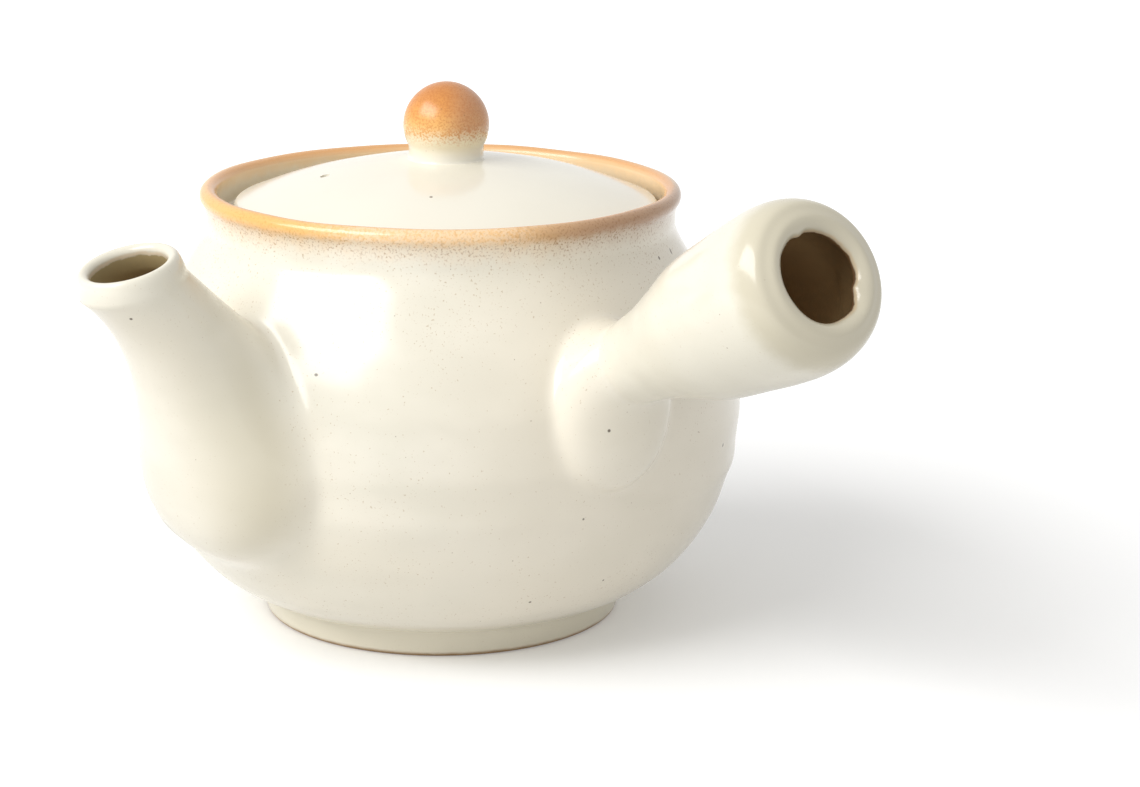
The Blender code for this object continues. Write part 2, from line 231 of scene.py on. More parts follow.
bodyForm = {
    "footRadius": 0.0330, "footSpread": 0.0004, "footHeight": 0.0050, "footRingWidth": 0.0052,
    "footRecess": 0.0034, "footEdge": 0.0010, "footCrease": 0.0014, "recessRing": 0.6, "floorThickness": 0.0044,
    "bellyRadius": 0.0554, "bellyHeight": 0.0410, "neckRadius": 0.0430, "neckHeight": 0.0735,
    "wall": 0.0042, "rimRadius": 0.0440, "rimHeight": 0.0785, "lipRadius": 0.0016, "lipStart": -35,
    "flareRise": 0.0016, "flareTurn": 0.0014,
    "galleryHeight": 0.0741, "galleryRadius": 0.0360, "galleryThickness": 0.0032, "galleryEdge": 0.0010,
    "flank": ((0.57, 0.083), (1.0, 0.472)), "shoulderRise": 0.52, "shoulderFall": 0.154,
    "flankSteps": 56, "shoulderSteps": 60, "flareSteps": 12, "lipSteps": 22, "floorSteps": 15, "steps": 256,
}

# What the hands leave: an uneven round, throwing rings and a soft waver in the wall
handMarks = {
    "oval": 0.0018, "ovalAngle": 35, "threeSided": 0.0010, "threeSidedAngle": 80,
    # height, width and depth of each ring, how far it tilts, and towards which angle
    "rings": ((0.0490, 0.0021, 0.00013, 0.0006, 20), (0.0387, 0.0019, 0.00015, 0.0005, 60),
              (0.0305, 0.0022, 0.00020, 0.0004, 30), (0.0585, 0.0026, 0.00008, 0.0006, -40),
              (0.0215, 0.0020, 0.00010, 0.0004, 10), (0.0108, 0.0012, 0.00012, 0.0003, 70)),
    "ridgeHeight": 0.0296, "ridgeWidth": 0.0016, "ridgeDepth": 0.00028, "ridgeAngle": 46, "ridgeSpan": 38,
    "reach": 0.0035,  # how far from the wall's outside the rings still show
    "insideRing": 0.00012, "insidePitch": 0.0044,
    # the waver's waves: radians per metre along each axis, and where each begins
    "waver": 0.000028, "waverShift": 2.1, "waverFullHeight": 0.012,
    "waves": ((210, 90, 160, 0.3), (-130, 240, 110, 1.9), (70, -160, 290, 4.1), (310, 120, -180, 2.6),
              (-90, -280, 70, 5.2)),
}


def wallOutline():
    # The outside of the wall, from the top of the foot ring to the neck
    form = bodyForm
    footTop = (form["footRadius"] + form["footSpread"], form["footHeight"])
    belly = (form["bellyRadius"], form["bellyHeight"])
    neck = (form["neckRadius"], form["neckHeight"])
    rise = neck[1] - belly[1]
    flank = swept(footTop, belly, form["flank"], form["flankSteps"])
    shoulder = bend(belly, (belly[0], belly[1] + form["shoulderRise"] * rise),
                    (neck[0], neck[1] - form["shoulderFall"] * rise), neck, form["shoulderSteps"])
    return np.concatenate([flank, shoulder[1:]])


wallLine = wallOutline()


def wallRadius(height):
    return float(np.interp(height, wallLine[:, 1], wallLine[:, 0]))


def bodyDistance(points):
    # How far points lie outside the wall's outside
    flat = np.stack([np.hypot(points[:, 0], points[:, 1]), points[:, 2]], 1)
    start, run = wallLine[:-1], np.diff(wallLine, axis=0)
    offset = flat[:, None] - start[None]
    along = np.clip((offset * run).sum(2) / (run ** 2).sum(1), 0, 1)
    gap = offset - along[..., None] * run
    distance = np.linalg.norm(gap, axis=2)
    nearest = distance.argmin(1)
    rows = np.arange(len(flat))
    turn = run[nearest, 1] * offset[rows, nearest, 0] - run[nearest, 0] * offset[rows, nearest, 1]
    return distance[rows, nearest] * np.sign(turn)


def handmade(points):
    # Moves points as the potter's hands moved the clay there
    marks = handMarks
    angle = np.arctan2(points[:, 1], points[:, 0])
    height = points[:, 2]
    moved = points.copy()
    oval = marks["oval"] * np.cos(2 * (angle - math.radians(marks["ovalAngle"])))
    oval += marks["threeSided"] * np.cos(3 * (angle - math.radians(marks["threeSidedAngle"])))
    moved[:, :2] *= (1 + oval)[:, None]
    push = np.zeros(len(points))
    for place, width, depth, tilt, highSide in marks["rings"]:
        push += depth * bell(height - place - tilt * np.cos(angle - math.radians(highSide)), width)
    near = bell(turnedFrom(angle, marks["ridgeAngle"]), marks["ridgeSpan"])
    push += near * marks["ridgeDepth"] * bell(height - marks["ridgeHeight"], marks["ridgeWidth"])
    push *= 1 - smoothStep(np.abs(bodyDistance(points)), 0, marks["reach"])
    out = np.maximum(np.hypot(points[:, 0], points[:, 1]), tiny)
    moved[:, :2] += points[:, :2] * (push / out)[:, None]
    loose = smoothStep(height, 0, marks["waverFullHeight"])  # the foot stays flat
    for axis in range(3):
        for x, y, z, phase in marks["waves"]:
            wave = np.sin(x * points[:, 0] + y * points[:, 1] + z * height + phase + marks["waverShift"] * axis)
            moved[:, axis] += marks["waver"] * wave * loose
    return moved


def byHand(rings):
    sizes = np.cumsum([len(ring) for ring in rings])[:-1]
    return np.split(handmade(np.concatenate(rings)), sizes)


def thrown(name, outline, steps, slip=0):
    # A piece made on the wheel, its axis slipped off the pot's
    return skin(name, byHand([ring + slip for ring in spun(outline, steps)]))


def bodyOutline():
    # From the middle of the foot's recess up the outside, over the lip and down the inside
    form = bodyForm
    recess, edge, crease = form["footRecess"], form["footEdge"], form["footCrease"]
    ringInner = form["footRadius"] - form["footRingWidth"]
    footTop, neck = wallLine[0], wallLine[-1]
    afterCrease = wallLine[np.linalg.norm(wallLine - footTop, axis=1) > crease]
    foot = softened([(0, recess, 0), (ringInner * form["recessRing"], recess, 0), (ringInner, recess, edge),
                     (ringInner, 0, edge), (form["footRadius"], 0, edge), (*footTop, crease),
                     (*afterCrease[0], 0)])[:-1]
    lipCentre = (form["rimRadius"] - form["lipRadius"], form["rimHeight"])
    lip = arc(lipCentre, form["lipRadius"], form["lipStart"], 180, form["lipSteps"])
    flare = bend(neck, neck + (0, form["flareRise"]),
                 lip[0] - form["flareTurn"] * quarterTurn(way(form["lipStart"])), lip[0], form["flareSteps"])
    gallery, galleryEdge = form["galleryRadius"], form["galleryEdge"]
    ledge = form["galleryHeight"] - form["galleryThickness"]
    inside = sideways(wallLine, -form["wall"])
    inside = inside[inside[:, 1] < ledge - form["galleryThickness"]]
    inside[:, 0] += handMarks["insideRing"] * np.sin(inside[:, 1] * math.tau / handMarks["insidePitch"])
    collar = softened([(*lip[-1], 0), (lip[-1][0], form["galleryHeight"], galleryEdge),
                       (gallery, form["galleryHeight"], galleryEdge), (gallery, ledge, galleryEdge),
                       (*inside[-1], 0)])[1:-1]
    floorHeight = recess + form["floorThickness"]
    share = np.linspace(1, 0, form["floorSteps"] + 1)[1:]
    floor = np.stack([share * inside[0][0], floorHeight + (inside[0][1] - floorHeight) * share ** 3], 1)
    return np.concatenate([foot, afterCrease, flare[1:], lip[1:], collar, inside[::-1], floor])


potBody = thrown("potBody", bodyOutline(), bodyForm["steps"])
print("pot body made")


# Tubes that grow out of the wall. A section of a tube lies between a lower and an
# upper point of the upright plane through the pot's axis, and has a half width.

tubeParts = ("lower", "upper", "half", "power", "drift")
sunkSections, sunkStep = 14, 0.0008  # the first section is repeated inwards, behind the wall
driftReach = 1.4  # in half heights of a section, how far from its middle the drift still grows
leastSlope = 0.05

rootForm = {
    "places": 240,  # along the tube, to find where it meets the wall
    "start": 1.06,  # where a filled corner begins, in its own sizes
    "cornerRounds": 10, "cornerStride": 0.8, "boreDepth": -0.0002,
    # beyond the filled corner, rings run on along the wall and sink slowly into it: distance and depth
    "feather": ((0.0007, 0.000006), (0.0014, 0.000014), (0.0021, 0.00003)),
}


def makeTube(lower, upper, half, heading, power=2.0, drift=0.0):
    # power squares a section's sides from 2 upwards, and drift moves its lower side across
    power, drift = np.broadcast_to(power, len(half)), np.broadcast_to(drift, len(half))
    tube = dict(zip(tubeParts, (lower, upper, half, power, drift)))
    deep = {part: np.concatenate([np.repeat(tube[part][:1], sunkSections, 0), tube[part]]) for part in tubeParts}
    for part in ("lower", "upper"):
        deep[part][:sunkSections, 0] -= sunkStep * np.arange(sunkSections, 0, -1)
    tube.update({"deep": deep, "heading": heading, "across": np.append(quarterTurn(heading), 0)})
    return tube


def between(table, place):
    index = np.clip(np.floor(place).astype(int), 0, len(table) - 2)
    part = place - index
    if table.ndim > 1:
        part = part[..., None]
    return table[index] * (1 - part) + table[index + 1] * part


def inSpace(flat, side, heading):
    # Points of the upright plane, moved sideways out of it
    across = np.append(quarterTurn(heading), 0)
    return flat[..., :1] * heading + side[..., None] * across + flat[..., 1:] * np.array([0, 0, 1])


def tubePoints(tube, place, angle, inset=0):
    place, angle = np.broadcast_arrays(np.asarray(place, float), angle)
    lower, upper, half, power, drift = (between(tube[part], place) for part in tubeParts)
    centre, reach = (lower + upper) / 2, (upper - lower) / 2
    reach = reach * (1 - inset / np.linalg.norm(reach, axis=-1))[..., None]
    out = (np.abs(np.cos(angle)) ** power + np.abs(np.sin(angle)) ** power) ** (-1 / power)
    rise = out * np.sin(angle)
    side = (half - inset) * out * np.cos(angle) + drift * (1 - rise) / 2
    return inSpace(centre + reach * rise[..., None], side, tube["heading"])


def roundRing(middle, forward, radius, heading, around):
    # A round section about a middle, square to the way forward
    flat = middle + radius * np.sin(around)[:, None] * quarterTurn(forward)
    return inSpace(flat, radius * np.cos(around), heading)


def tubeDistance(tube, points):
    # How far points lie outside a tube, true near its skin
    flat = np.stack([points @ tube["heading"], points[:, 2]], 1)
    lower, upper = tube["deep"]["lower"], tube["deep"]["upper"]
    run, offset = upper - lower, flat[:, None] - lower[None]
    ahead = run[None, :, 0] * offset[..., 1] - run[None, :, 1] * offset[..., 0]
    changes = (ahead[:, :-1] <= 0) & (ahead[:, 1:] > 0)
    index = np.where(changes.any(1), changes.argmax(1), np.where(ahead[:, 0] > 0, 0, len(lower) - 2))
    rows = np.arange(len(points))
    first, second = ahead[rows, index], ahead[rows, index + 1]
    place = index + np.clip(first / (first - second), 0, 1)
    lower, upper, half, power, drift = (between(tube["deep"][part], place) for part in tubeParts)
    reach = (upper - lower) / 2
    tall = np.linalg.norm(reach, axis=1)
    up = ((flat - (lower + upper) / 2) * reach).sum(1) / tall ** 2
    wide = np.abs(points @ tube["across"] - drift * (1 - np.clip(up, -driftReach, driftReach)) / 2) / half
    up = np.abs(up)
    share = (wide ** power + up ** power) ** (1 / power) + tiny
    steep = np.sqrt((wide ** (power - 1) / half) ** 2 + (up ** (power - 1) / tall) ** 2) * share ** (1 - power)
    return (share - 1) / np.maximum(steep, 1)


def blended(tube, points, size):
    # Below zero inside the clay of the wall or the tube, with the corner between them filled
    body, own = bodyDistance(points), tubeDistance(tube, points)
    near = np.maximum(size - np.abs(body - own), 0) / size
    return np.minimum(body, own) - near ** 3 * size / 6


def slope(field, points, step=0.00002):
    return np.stack([(field(points + step * axis) - field(points - step * axis)) / (2 * step)
                     for axis in np.eye(3)], 1)


def onto(field, points, rounds, most=0.0012):
    # Moves points along the slope until the field is zero there, no more than most in a round
    for _ in range(rounds):
        rise = slope(field, points)
        move = (field(points) / np.maximum((rise ** 2).sum(1), leastSlope))[:, None] * rise
        length = np.linalg.norm(move, axis=1)[:, None]
        points = points - move * np.minimum(1, most / np.maximum(length, tiny))
    return points


def rootRings(tube, angle, size, wall, steps, boreInset):
    # Rings down the outside to the wall and back up the bore, and the number of the bore's first ring.
    # steps are those of the outside, the filled corner and the bore.
    form = rootForm
    last = len(tube["half"]) - 1
    places = np.linspace(0, last, form["places"])

    def depths(inset):
        grid = tubePoints(tube, places[:, None], angle[None], inset)
        return bodyDistance(grid.reshape(-1, 3)).reshape(grid.shape[:2])

    def crossing(depth, level):
        # The place nearest to the far end where the surface comes down to the level
        index = len(places) - 1 - (depth < level)[::-1].argmax(0)
        columns = np.arange(len(angle))
        low, high = depth[index, columns], depth[np.minimum(index + 1, len(places) - 1), columns]
        return (index + np.clip((level - low) / (high - low), 0, 1)) * (places[1] - places[0])

    outer = depths(0)
    leave, meet = crossing(outer, form["start"] * size), crossing(outer, 0)
    start, corner = tubePoints(tube, leave, angle), tubePoints(tube, meet, angle)
    own = lambda spots: tubeDistance(tube, spots)
    foot = corner.copy()
    for _ in range(form["cornerRounds"]):
        short = form["start"] * size - own(foot)
        out, up = slope(own, foot), slope(bodyDistance, foot)
        up /= np.linalg.norm(up, axis=1)[:, None]
        out -= (out * up).sum(1)[:, None] * up
        grow = np.maximum((out ** 2).sum(1), leastSlope)
        foot = onto(bodyDistance, foot + out * (form["cornerStride"] * short / grow)[:, None], 2)
    rings = [tubePoints(tube, leave + share * (last - leave), angle) for share in np.linspace(1, 0, steps[0] + 1)]
    field = lambda spots: blended(tube, spots, np.tile(size, len(spots) // len(angle)))
    path = cornered(start, corner, foot, np.linspace(0, 1, steps[1] + 1)[1:, None, None])
    path = onto(field, path.reshape(-1, 3), 6).reshape(path.shape)
    ahead = foot - path[-2]
    ahead /= np.linalg.norm(ahead, axis=1)[:, None]
    rings += list(path)
    for run, sink in form["feather"]:
        rings.append(onto(lambda spots: bodyDistance(spots) + sink, foot + run * ahead, 3))

    boreStart = len(rings)
    begin = crossing(depths(wall), form["boreDepth"])
    for share in np.linspace(0, 1, steps[2] + 1):
        place = begin + share * (last - begin)
        rings.append(tubePoints(tube, place, angle, wall + place / last * (boreInset - wall)))
    return rings, boreStart


def markPast(piece, rings, boreStart, farOutside=-0.03):
    # Writes on each point how far past the lip's crest it lies, along the clay into the bore
    middles = np.array([ring.mean(0) for ring in rings])
    sizes = np.array([np.linalg.norm(ring - middle, axis=1).mean() for ring, middle in zip(rings, middles)])
    steps = np.hypot(np.linalg.norm(np.diff(middles, axis=0), axis=1), np.diff(sizes))
    climb = (middles[boreStart:] - middles[boreStart]) @ (middles[-1] - middles[boreStart])
    crest = boreStart + int(np.argmax(climb))
    past = np.full(len(rings), farOutside)
    for index in range(boreStart, len(rings)):
        near, far = sorted((index, crest))
        past[index] = steps[near:far].sum() * (1 if index < crest else -1)
    values = np.concatenate([np.full(len(ring), value) for ring, value in zip(rings, past)])
    piece.data.attributes.new("past", "FLOAT", "POINT").data.foreach_set("value", values.astype(np.float32))


def pulled(name, rings, boreStart):
    rings = byHand(rings)
    piece = skin(name, rings, closed=True)
    markPast(piece, rings, boreStart)
    return piece


# Spout, and the opening through the wall behind it

spoutForm = {
    "angle": -80.6, "reach": 0.0167, "mouthHeight": 0.0747, "mouthRadius": 0.0093, "boreRadius": 0.0067,
    "mouthTilt": 74.4, "lipDrop": 0.0027, "wall": 0.0034, "rootBottom": 0.0206, "rootTop": 0.0600,
    "rootHalfWidth": 0.0240, "rootDepth": 0.0094, "rootPower": 2.2,
    "outer": ((0.76, -0.10), (0.29, 0.62)), "inner": ((0.0, 0.03), (0.27, 0.24)), "width": (0.80, 0.08),
    "sideBlend": 0.0020, "topBlend": 0.0030, "bottomBlend": 0.0085, "topFrom": 0.1, "bottomFrom": 0.3,
    "lengthSteps": 64, "ringSteps": (46, 14, 34), "lipSteps": 18, "steps": 160,
    "openingRadius": 0.0145, "openingHeight": 0.04045, "openingSpan": (0.018, 0.060), "openingSteps": 48,
}


def openWall():
    form = spoutForm
    inner, outer = (levelWay(form["angle"]) * out + (0, 0, form["openingHeight"]) for out in form["openingSpan"])
    cutAway(potBody, rod("spoutOpening", form["openingRadius"], inner, outer, form["openingSteps"]))


def spoutSkin():
    form = spoutForm
    heading, outward = levelWay(form["angle"]), way(form["mouthTilt"])
    root = bodyForm["bellyRadius"] - form["rootDepth"]
    mouth = np.array([bodyForm["bellyRadius"] + form["reach"], form["mouthHeight"]])
    radius = form["mouthRadius"]
    lip = (radius - form["boreRadius"]) / 2
    brim = mouth - outward * form["lipDrop"]
    across = quarterTurn(outward) * radius
    steps = form["lengthSteps"]
    lower = swept((root, form["rootBottom"]), brim - across, form["outer"], steps)
    upper = swept((root, form["rootTop"]), brim + across, form["inner"], steps)
    half = narrowing(form["rootHalfWidth"], radius, form["width"], steps)
    power = form["rootPower"] + (2 - form["rootPower"]) * np.linspace(0, 1, steps + 1)
    tube = makeTube(lower, upper, half, heading, power)
    around = circleAngles(form["steps"])
    over = smoothStep(np.sin(around), form["topFrom"], 1)
    under = smoothStep(-np.sin(around), form["bottomFrom"], 1)
    size = (form["sideBlend"] + over * (form["topBlend"] - form["sideBlend"])
            + under * (form["bottomBlend"] - form["sideBlend"]))
    rings, boreStart = rootRings(tube, around, size, form["wall"], form["ringSteps"], 2 * lip)
    middle = radius - lip
    for place, rise in arc((middle, 0), lip, 180, 0, form["lipSteps"])[1:-1]:
        drop = form["lipDrop"] * (1 - rise / lip) if place > middle else 0
        rings.append(roundRing(mouth + outward * (rise - drop), outward, place, heading, around))
    return rings, boreStart


openWall()
spout = pulled("spoutTube", *spoutSkin())
print("spout made")


# Handle

handleForm = {
    "angle": 0, "tilt": 26.5, "axisHeight": 0.0292, "waistReach": 0.0036, "length": 0.0526,
    "waistRadius": 0.00745, "endRadius": 0.0145, "mouthRadius": 0.0074, "wall": 0.0036, "lipRadius": 0.0020,
    "padBottom": 0.0345, "padTop": 0.0640, "padHalfWidth": 0.0121, "padDepth": 0.0030, "padWidth": (1.0, 0.60),
    # the pad's two edges: how far each runs level, and how far along the handle, as shares of its way
    "heel": (1.16, 0.30), "saddle": (0.40, 0.35), "heelDrift": -0.0030, "driftFade": 1.5,
    # shares of the handle's length, and how far it has grown there from the waist's radius to the end's
    "swell": ((0, 0), (0.13, 0.13), (0.28, 0.41), (0.45, 0.74), (0.60, 0.87), (0.73, 0.97), (0.8075, 1.0)),
    "sideBlend": 0.0022, "pocketBlend": 0.0034, "pocketAngle": -32, "pocketSpan": (0.35, 0.95),
    # shoulderPower squares the end's shoulder from 2 upwards, hollow dips the face between shoulder and mouth
    "endRound": 0.0102, "shoulderPower": 2.35, "hollow": 0.0003, "hollowReach": 0.62,
    # bumps of glaze on the mouth's edge: angle, width, depth
    "bumps": ((104, 8, 0.00045), (-22, 9, 0.00055), (18, 16, -0.00030), (-50, 11, -0.00030),
              (205, 24, 0.00025), (150, 12, -0.00015)),
    "padSteps": 56, "swellSteps": 48, "ringSteps": (70, 12, 50), "throatSteps": 11, "lipSteps": 8,
    "shoulderSteps": 30, "steps": 144,
}


def handleSkin():
    form = handleForm
    heading, forward = levelWay(form["angle"]), way(form["tilt"])
    square = quarterTurn(forward)
    waistOut = bodyForm["bellyRadius"] + form["waistReach"]
    waist = np.array([waistOut, form["axisHeight"] + waistOut * math.tan(math.radians(form["tilt"]))])

    def padEdge(height, shares, upDown):
        start = np.array([wallRadius(height) - form["padDepth"], height])
        end = waist + upDown * square * form["waistRadius"]
        before = end - forward * shares[1] * np.linalg.norm(end - start)
        return bend(start, partWay(start, end, (shares[0], 0)), before, end, form["padSteps"])

    stations, grown = zip(*form["swell"])
    share = np.linspace(0, stations[-1], form["swellSteps"] + 1)[1:]
    swell = (form["endRadius"] - form["waistRadius"]) * smoothThrough(stations, grown, share)
    radius = form["waistRadius"] + swell
    centre = waist + np.outer(share * form["length"], forward)
    lower = np.concatenate([padEdge(form["padBottom"], form["heel"], -1), centre - np.outer(radius, square)])
    upper = np.concatenate([padEdge(form["padTop"], form["saddle"], 1), centre + np.outer(radius, square)])
    half = narrowing(form["padHalfWidth"], form["waistRadius"], form["padWidth"], form["padSteps"])
    half = np.concatenate([half, radius])
    fade = 1 - np.clip(np.arange(len(half)) / form["padSteps"], 0, 1)
    tube = makeTube(lower, upper, half, heading, drift=form["heelDrift"] * fade ** form["driftFade"])
    around = circleAngles(form["steps"])
    # the corner below the handle at its right is filled the most
    pocket = smoothStep(np.cos(around - math.radians(form["pocketAngle"])), *form["pocketSpan"])
    size = form["sideBlend"] + pocket * (form["pocketBlend"] - form["sideBlend"])
    rings, boreStart = rootRings(tube, around, size, form["wall"], form["ringSteps"], form["wall"])
    bump = sum(depth * bell(turnedFrom(around, place), width) for place, width, depth in form["bumps"])

    def endRing(distance, ringRadius, bumpShare=0.0):
        middle = waist + forward * distance
        centre = middle[0] * heading + (0, 0, middle[1])
        ring = roundRing(middle, forward, ringRadius, heading, around)
        rings.append(centre + (ring - centre) * (1 - bumpShare * bump / ringRadius)[:, None])

    # the bore narrows to the mouth, turns over the lip and goes on over the face and the shoulder
    lipMiddle = form["mouthRadius"] + form["lipRadius"]
    mouth = form["length"] - form["lipRadius"]
    bore = form["endRadius"] - form["wall"]
    throatLength = mouth - stations[-1] * form["length"]
    for t in np.linspace(0, 1, form["throatSteps"] + 1)[1:-1]:
        narrowed = form["mouthRadius"] + (bore - form["mouthRadius"]) * (1 - t) ** 0.5
        endRing(mouth - (1 - t) * throatLength, narrowed, t ** 4)
    for place, rise in arc((lipMiddle, 0), form["lipRadius"], 180, 90, form["lipSteps"]):
        endRing(mouth + rise, place, (lipMiddle - place) / form["lipRadius"])
    power = form["shoulderPower"]
    for out, rise in arc((0, 0), 1, 90, 0, form["shoulderSteps"])[1:-1]:
        full = (out ** power + rise ** power) ** (-1 / power)
        dip = form["hollow"] * math.sin(math.pi * min(out * full / form["hollowReach"], 1)) ** 2
        endRing(form["length"] - dip - form["endRound"] * (1 - rise * full),
                lipMiddle + (form["endRadius"] - lipMiddle) * out * full)
    return rings, boreStart


handle = pulled("sideHandle", *handleSkin())
print("handle made")


# Lid

lidForm = {
    "rimGap": 0.0020, "seatGap": 0.0003, "edgeThickness": 0.0030, "edgeRound": 0.0011, "underEdge": 0.0007,
    "rise": 0.0076, "thickness": 0.0034, "skirtPlay": 0.0016, "skirtDepth": 0.0066, "skirtThickness": 0.0028,
    "skirtRound": 0.0012, "skirtCrease": 0.0005, "hollowCrease": 0.0012, "hollowShare": 0.8,
    "crownSteps": 39, "edgeSteps": 10, "hollowSteps": 19, "steps": 192,
    "ventRadius": 0.0009, "ventDistance": 0.0225, "ventAngle": -112.0, "ventSpan": (0.065, 0.092), "ventSteps": 24,
}
lidRadius = bodyForm["rimRadius"] - 2 * bodyForm["lipRadius"] - lidForm["rimGap"]
lidReach = lidRadius - lidForm["edgeRound"]
lidBottom = bodyForm["galleryHeight"] + lidForm["seatGap"]
lidTop = lidBottom + lidForm["edgeThickness"] + lidForm["rise"]
domeRadius = (lidReach ** 2 + lidForm["rise"] ** 2) / (2 * lidForm["rise"])


def domeFall(place):
    # How far below its top the dome lies at a distance from its middle
    return domeRadius - np.sqrt(domeRadius ** 2 - place ** 2)


def lidOutline():
    form = lidForm
    out = np.linspace(0, lidReach, form["crownSteps"] + 1)
    crown = np.stack([out, lidTop - domeFall(out)], 1)
    lean = math.degrees(math.asin(lidReach / domeRadius))
    edgeCentre = (lidReach, lidBottom + form["edgeThickness"] - form["edgeRound"])
    edge = arc(edgeCentre, form["edgeRound"], 90 - lean, 0, form["edgeSteps"])
    skirtOuter = bodyForm["galleryRadius"] - form["skirtPlay"]
    skirtInner = skirtOuter - form["skirtThickness"]
    skirtEnd = lidBottom - form["skirtDepth"]
    place = np.linspace(skirtInner * form["hollowShare"], 0, form["hollowSteps"] + 1)
    hollow = np.stack([place, lidTop - form["thickness"] - domeFall(place)], 1)
    under = softened([(*edge[-1], 0), (edge[-1][0], lidBottom, form["underEdge"]),
                      (skirtOuter, lidBottom, form["skirtCrease"]), (skirtOuter, skirtEnd, form["skirtRound"]),
                      (skirtInner, skirtEnd, form["skirtRound"]),
                      (skirtInner, lidTop - form["thickness"] - domeFall(skirtInner), form["hollowCrease"]),
                      (*hollow[0], 0)])[1:-1]
    return np.concatenate([crown[:-1], edge, under, hollow])


def pierceVent():
    form = lidForm
    low, high = (lidSlip + form["ventDistance"] * levelWay(form["ventAngle"]) + (0, 0, height)
                 for height in form["ventSpan"])
    cutAway(lid, rod("ventHole", form["ventRadius"], low, high, form["ventSteps"]))


lid = thrown("lidDome", lidOutline(), lidForm["steps"], lidSlip)
pierceVent()


# Knob

knobForm = {
    "radius": 0.00785, "neckRadius": 0.0069, "baseRadius": 0.0094, "height": 0.01385, "baseRun": 0.0024,
    "neckRun": (0.0002, 0.0034), "sink": 0.0006, "ballSteps": 30, "flareSteps": 16, "steps": 96,
    # rings that hide in the lid: share of the base's radius, and how far out and up the last lies
    "hiddenRing": 0.9, "hiddenEdge": (0.0002, -0.0001),
}


def knobOutline():
    form = knobForm
    top, base = lidTop + form["height"], form["baseRadius"]
    meet = math.degrees(math.acos(form["neckRadius"] / form["radius"]))
    ball = arc((0, top - form["radius"]), form["radius"], -meet, 90, form["ballSteps"])
    start = np.array([base, lidTop - domeFall(base)])
    flare = bend(start, start + (-form["baseRun"], form["baseRun"] * base / domeRadius),
                 ball[0] - form["neckRun"], ball[0], form["flareSteps"])
    sunk = start[1] - form["sink"]
    return np.concatenate([[(0, sunk), (base * form["hiddenRing"], sunk), start + form["hiddenEdge"]],
                           flare, ball[1:-1], [(0, top)]])


knob = thrown("ballKnob", knobOutline(), knobForm["steps"], lidSlip)
print("lid and knob made")


# Materials

class Wire:
    # A value on its way between shader nodes, so that sums can be written plainly
    def __init__(self, bench, socket):
        self.bench, self.socket = bench, socket

    def __add__(self, other):
        return self.bench.maths("ADD", self, other)

    def __radd__(self, other):
        return self.bench.maths("ADD", other, self)

    def __sub__(self, other):
        return self.bench.maths("SUBTRACT", self, other)

    def __rsub__(self, other):
        return self.bench.maths("SUBTRACT", other, self)

    def __mul__(self, other):
        return self.bench.maths("MULTIPLY", self, other)

    def __rmul__(self, other):
        return self.bench.maths("MULTIPLY", other, self)

    def __truediv__(self, other):
        return self.bench.maths("DIVIDE", self, other)


class Bench:
    # One material, or the world, and the few ways in which its nodes are made
    def __init__(self, name, world=None):
        self.material = world or bpy.data.materials.new(name)
        self.material.use_nodes = True
        self.tree = self.material.node_tree
        self.shader = self.tree.nodes["Background" if world else "Principled BSDF"]

    def join(self, socket, value):
        if isinstance(value, Wire):
            self.tree.links.new(value.socket, socket)
        else:
            socket.default_value = (*value, 1) if socket.type == "RGBA" else value

    def node(self, kind, settings=(), inputs=(), output=0):
        # One wire for an output, or a list of them for several
        node = self.tree.nodes.new(kind)
        for name, value in dict(settings).items():
            setattr(node, name, value)
        for name, value in dict(inputs).items():
            self.join(node.inputs[name], value)
        if isinstance(output, tuple):
            return [Wire(self, node.outputs[name]) for name in output]
        return Wire(self, node.outputs[output])

    def maths(self, operation, first, second=0):
        return self.node("ShaderNodeMath", {"operation": operation}, {0: first, 1: second})

    def most(self, first, *others):
        for other in others:
            first = self.maths("MAXIMUM", first, other)
        return first

    def vector(self, operation, first, second, output=0):
        return self.node("ShaderNodeVectorMath", {"operation": operation}, {0: first, 1: second}, output)

    def mix(self, share, first, second):
        # Its sockets 6 and 7 and its output 2 are those for colours
        return self.node("ShaderNodeMix", {"data_type": "RGBA"}, {0: share, 6: first, 7: second}, 2)

    def layered(self, colour, *layers):
        # Lays tones over a colour, each by its own share
        for share, tone in layers:
            colour = self.mix(share, colour, tone)
        return colour

    def step(self, value, low, high):
        # From 0 at low to 1 at high, softly
        return self.node("ShaderNodeMapRange", {"interpolation_type": "SMOOTHSTEP"}, {0: value, 1: low, 2: high})

    def spot(self):
        return self.node("ShaderNodeTexCoord", output="Object")

    def axes(self, spot):
        return self.node("ShaderNodeSeparateXYZ", (), {0: spot}, (0, 1, 2))

    def noise(self, spot, size, detail=2.0, roughness=0.5):
        # Cloudy values about 0.5, with lumps of a size
        return self.node("ShaderNodeTexNoise", (),
                         {"Vector": spot, "Scale": 1 / size, "Detail": detail, "Roughness": roughness})

    def away(self, spot, place):
        return self.vector("DISTANCE", spot, place, "Value")

    def wear(self, looks):
        for name, value in looks.items():
            self.join(self.shader.inputs[name], value)

    def finish(self, colour, roughness, bumps):
        normal = {}
        for height, depth in bumps:
            inputs = {"Height": height, "Distance": depth, "Strength": 1.0, **normal}
            normal = {"Normal": self.node("ShaderNodeBump", (), inputs)}
        self.wear({"Base Color": colour, "Roughness": roughness, **normal})
        return self.material


def shade(*parts):
    # A colour as it is read off a screen, as the light that it stands for
    shares = [part / 255 for part in parts]
    return tuple(share / 12.92 if share < 0.04 else ((share + 0.055) / 1.055) ** 2.4 for share in shares)


